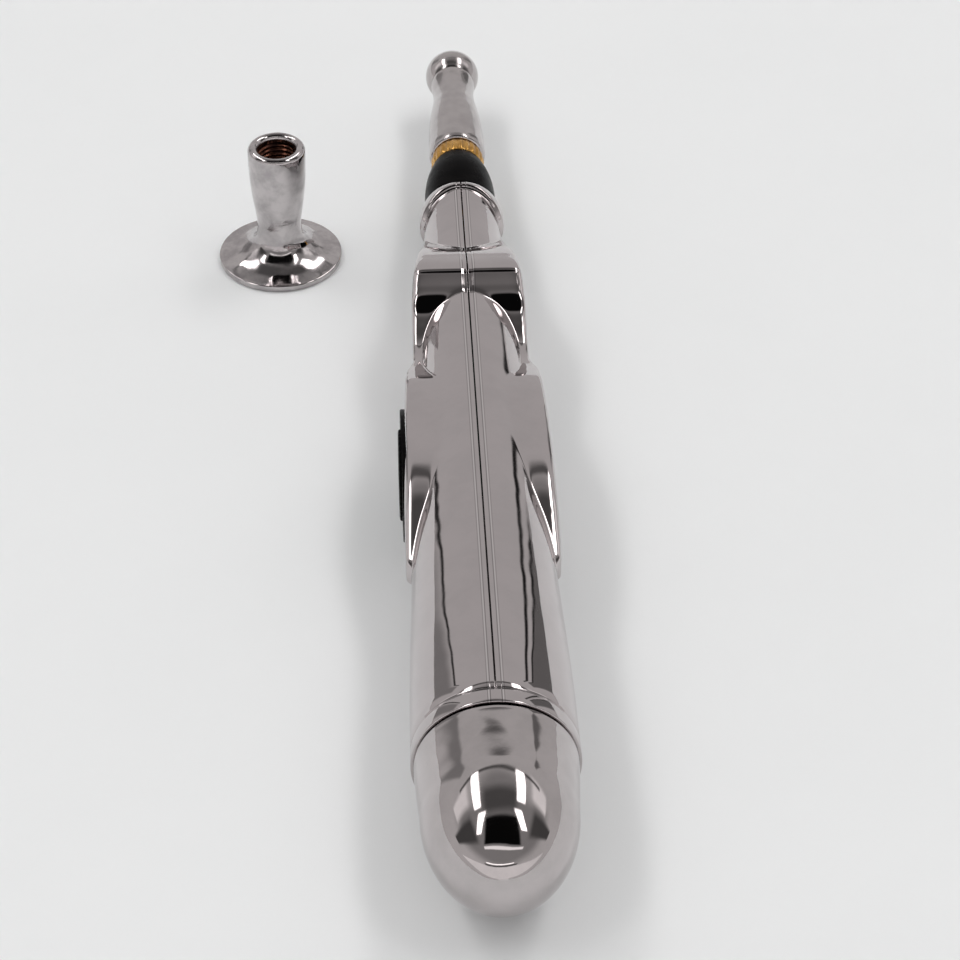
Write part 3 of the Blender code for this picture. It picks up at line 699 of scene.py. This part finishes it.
def circuit_board():
    """Solder resist with darker tracks under it and bright pads in rows."""
    made, n, inputs = new_material("solder_resist", "circuit_board", (0.02, 0.16, 0.06), 0.0, 0.3)
    link = made.node_tree.links.new
    bricks = n.add("ShaderNodeTexBrick", offset=0.35)
    n.feed(bricks, Vector=n.place(), Scale=380.0, Color1=(0.012, 0.13, 0.05, 1),
           Color2=(0.016, 0.16, 0.06, 1), Mortar=(0.03, 0.26, 0.1, 1), Mortar_Size=0.03)
    pads = n.add("ShaderNodeTexVoronoi", distance="CHEBYCHEV")
    n.feed(pads, Vector=n.place(), Scale=420.0, Randomness=0.35)
    pad = n.math("LESS_THAN", pads.outputs["Distance"], 0.11)
    link(n.tint(pad, bricks.outputs[0], (0.72, 0.7, 0.66)), inputs["Base Color"])
    link(pad, inputs["Metallic"])
    link(n.bump(n.math("ADD", pad, bricks.outputs["Fac"]), 0.00002), inputs["Normal"])
    return made


def copper_winding():
    """Enamelled wire laid turn by turn."""
    made, n, inputs = new_material("enamelled_winding", "copper_winding", (0.6, 0.28, 0.12), 1.0, 0.25)
    link = made.node_tree.links.new
    turns = n.add("ShaderNodeTexWave", bands_direction="Y")
    n.feed(turns, Vector=n.place(), Scale=1400.0, Distortion=0.6)
    link(n.tint(turns.outputs[1], (0.25, 0.09, 0.03), (0.68, 0.32, 0.13)), inputs["Base Color"])
    link(n.bump(turns.outputs[1], 0.00006), inputs["Normal"])
    return made


def red_lens():
    """Clear red plastic that lets some light through."""
    made, n, inputs = new_material("tinted_lens", "red_lens", (0.45, 0.01, 0.01), 0.0, 0.08)
    link = made.node_tree.links.new
    depth = n.remap(n.noise(900, 2.0), 0.3, 0.7)
    link(n.tint(depth, (0.5, 0.012, 0.012), (0.28, 0.006, 0.006)), inputs["Base Color"])
    link(n.math("MULTIPLY_ADD", depth, 0.06, 0.06), inputs["Roughness"])
    inputs["Transmission Weight"].default_value = 0.35
    return made


# ---------------------------------------------------------------- studio

# The camera, in the pen's own axes: its place in mm, how far it looks down and right, and its lens in mm.
CAMERA_AT = Vector((-15.1, -300.0, 299.5))
CAMERA_PITCH, CAMERA_YAW = math.radians(38.0), math.radians(2.3)
FOCAL_LENGTH, SENSOR_WIDTH = 127.5, 36

FLOOR_SIZE = 6
LAMP_ENERGY, LAMP_SPREAD = 0.6, math.radians(110)

# Colour of the tent's light: red, green and blue for a light of 1.
LIGHT_COLOUR = (1.0, 0.97, 0.965)

# Stretches of the tent's wall: azimuths, elevations, light, softness. Later ones cover earlier ones.
WALLS = [
    ((-180, 180), (-90, 24), 0.62, 8),  # all the way round
    ((-75, 75), (-90, 52), 0.58, 8),  # the far side, which stands higher
    ((-46, -36), (-8, 27), 0.27, 2),  # grey gap on the left
    ((-35.0, -34.0), (0, 28), 0.03, 0.4),  # pole beside it
    ((35.5, 43), (-4, 27), 0.17, 1),  # grey gap on the right
    ((31.5, 33.2), (2, 30), 0.02, 0.5),  # two poles beside it
    ((35.2, 36.0), (2, 27), 0.02, 0.3),
]

# Panels overhead: places across and along, light, softness, slant, flare. Later ones cover earlier ones.
PANELS = [
    ((-8, 8), (-60, -2.5), 0.98, 0.12),  # low sheet behind the camera
    ((-2.4, -0.95), (0.3, 0.8), 1.0, 0.12),  # white cards at the sides
    ((0.95, 2.0), (0.35, 0.95), 1.1, 0.12),
    ((-4.5, -1.0), (-0.65, 0.05), 0.08, 0.15),  # dark gaps below the cards
    ((1.0, 4.5), (-0.5, 0.15), 0.08, 0.15),
    ((-1.4, 1.4), (0.79, 0.89), 0.12),  # bar across the front
    ((-0.45, 0.42), (0.0, 0.42), 0.1, 0.12),  # dark gap straight above
    ((-0.74, -0.52), (0.14, 0.85), 6.0),  # front pair of strip lights
    ((0.43, 0.66), (0.18, 0.86), 6.0),
    ((-0.8, -0.58), (-0.4, 0.03), 5.0, 0.03, 0.8),  # rear pair of strip lights
    ((0.5, 0.72), (-0.33, 0.03), 5.0, 0.03, -0.8),
    ((-0.8, 0.95), (-0.95, -0.82), 1.3, 0.03),  # white edge of the opening
    ((-0.4, 0.4), (-0.74, -0.06), 0.004, 0.04, 0.0, 1.2),  # the opening for the camera
    ((-1.3, 0.8), (-2.1, -1.95), 2.2, 0.03),  # low light behind the camera, with a dark bar under it
    ((-1.6, 1.2), (-2.45, -2.2), 0.12, 0.05),
]


def make_floor():
    bm = bmesh.new()
    bmesh.ops.create_grid(bm, x_segments=1, y_segments=1, size=FLOOR_SIZE)
    mesh = bpy.data.meshes.new("floor")
    bm.to_mesh(mesh)
    bm.free()
    floor = bpy.data.objects.new("floor", mesh)
    bpy.context.scene.collection.objects.link(floor)
    paper = surface("floor_paper", "floor", (0.9, 0.925, 0.93), (0.89, 0.915, 0.92), 0.0, 0.85, 0.95, 20)
    mesh.materials.append(paper)


def make_lamp():
    """A wide, soft light from overhead that brightens the floor and isn't mirrored in the plating."""
    data = bpy.data.lights.new("soft_overhead", "SUN")
    data.energy = LAMP_ENERGY
    data.angle = LAMP_SPREAD
    lamp = bpy.data.objects.new("soft_overhead", data)
    lamp.visible_glossy = False
    bpy.context.scene.collection.objects.link(lamp)


def make_camera():
    """The camera looks down from behind the cap, a little to the right of the pen's own line."""
    level = Vector((math.sin(CAMERA_YAW), math.cos(CAMERA_YAW), 0)) * math.cos(CAMERA_PITCH)
    look = PEN.to_3x3() @ (level - Vector((0, 0, math.sin(CAMERA_PITCH))))
    right = look.cross(upward).normalized()
    above = right.cross(look)
    data = bpy.data.cameras.new("camera")
    data.sensor_width = SENSOR_WIDTH
    data.lens = FOCAL_LENGTH
    data.clip_start, data.clip_end = 0.01, 20
    camera = bpy.data.objects.new("camera", data)
    turn = Matrix((right, above, -look)).transposed().to_4x4()
    camera.matrix_world = Matrix.Translation(PEN @ (CAMERA_AT * MM)) @ turn
    bpy.context.scene.collection.objects.link(camera)
    bpy.context.scene.camera = camera


class Sky(Nodes):
    """The studio as seen from the pen: a tent's walls, and panels placed where they cross a plane overhead.

    across and along are a place on that plane: 0, 0 is straight up, and 1 is 45 degrees above the floor.
    """

    def __init__(self, tree):
        super().__init__(tree)
        parts = self.add("ShaderNodeSeparateXYZ")
        self.feed(parts, Vector=self.add("ShaderNodeTexCoord").outputs["Generated"])
        right, ahead, up = parts.outputs
        height = self.math("MAXIMUM", up, 0.02)
        self.across = self.math("DIVIDE", right, height)
        self.along = self.math("DIVIDE", ahead, height)
        self.azimuth = self.math("MULTIPLY", self.math("ARCTAN2", right, ahead), 180 / math.pi)
        self.elevation = self.math("MULTIPLY", self.math("ARCSINE", up), 180 / math.pi)
        self.light = 0.3

    def inside(self, value, low, high, soft):
        rise = self.remap(value, low - soft, low + soft)
        fall = self.remap(value, high - soft, high + soft, 1.0, 0.0)
        return self.math("MULTIPLY", rise, fall)

    def paint(self, mask, light):
        """Sets the light where the mask is 1 and leaves it where the mask is 0."""
        node = self.add("ShaderNodeMix", data_type="FLOAT")
        self.light = self.feed(node, i0=mask, i2=self.light, i3=light)

    def panel(self, across, along, light, soft=0.04, slant=0.0, flare=0.0):
        """A panel overhead. slant moves it sideways as it goes forwards, flare widens it as it comes back."""
        middle = (along[0] + along[1]) / 2
        offset = self.math("MULTIPLY", self.math("SUBTRACT", self.along, middle), slant)
        sideways = self.math("SUBTRACT", self.across, offset)
        if flare:
            width = self.math("MULTIPLY_ADD", self.along, -flare, 1.0)
            sideways = self.math("DIVIDE", sideways, self.math("MAXIMUM", width, 0.2))
        mask = self.math("MULTIPLY", self.inside(sideways, *across, soft),
                         self.inside(self.along, *along, soft))
        self.paint(mask, light)

    def wall(self, azimuth, elevation, light, soft):
        """A stretch of the tent's wall, in degrees round from straight ahead and up from the floor."""
        mask = self.math("MULTIPLY", self.inside(self.azimuth, *azimuth, soft),
                         self.inside(self.elevation, *elevation, soft))
        self.paint(mask, light)


def make_world():
    world = bpy.data.worlds.new("studio")
    bpy.context.scene.world = world
    world.use_nodes = True
    tree = world.node_tree
    sky = Sky(tree)
    for wall in WALLS:
        sky.wall(*wall)
    for panel in PANELS:
        sky.panel(*panel)
    red, green, blue = LIGHT_COLOUR
    tint = sky.add("ShaderNodeCombineColor")
    sky.feed(tint, Red=sky.math("MULTIPLY", sky.light, red), Green=sky.math("MULTIPLY", sky.light, green),
             Blue=sky.math("MULTIPLY", sky.light, blue))
    tree.links.new(tint.outputs[0], tree.nodes["Background"].inputs["Color"])


# The inner CAD pieces that stay as they are, and the material each is given.
INNER_LOOKS = {
    "dial_shaft": "steel", "dial_control": "steel", "cap_contact": "steel", "stud_nut": "brass",
    "battery_tube": "natural", "positive_contact": "nickel", "negative_strip": "nickel",
    "circuit_board": "board", "transformer_core": "ferrite", "transformer_coil": "winding",
    "filter_capacitor": "component", "pulse_chip": "component", "indicator_led": "lens",
    "electrode_lead": "lead",
}


def main():
    looks = make_materials()
    make_casing(looks["chrome"])
    make_tail(looks["chrome"], looks["dome"])
    make_tip(looks["satin"], looks["black"], looks["brass"], looks["copper"])
    make_dial(looks["black"], looks["lens"])
    make_cell(looks["sleeve"], looks["nickel"])
    make_loose_head(looks["cast"], looks["copper"])
    for node, look in INNER_LOOKS.items():
        kept = frame["nodes"][node]
        kept.data.materials.clear()
        kept.data.materials.append(looks[look])
    make_floor()
    make_lamp()
    make_camera()
    make_world()


bpy.context.scene.view_settings.view_transform = "Standard"
main()
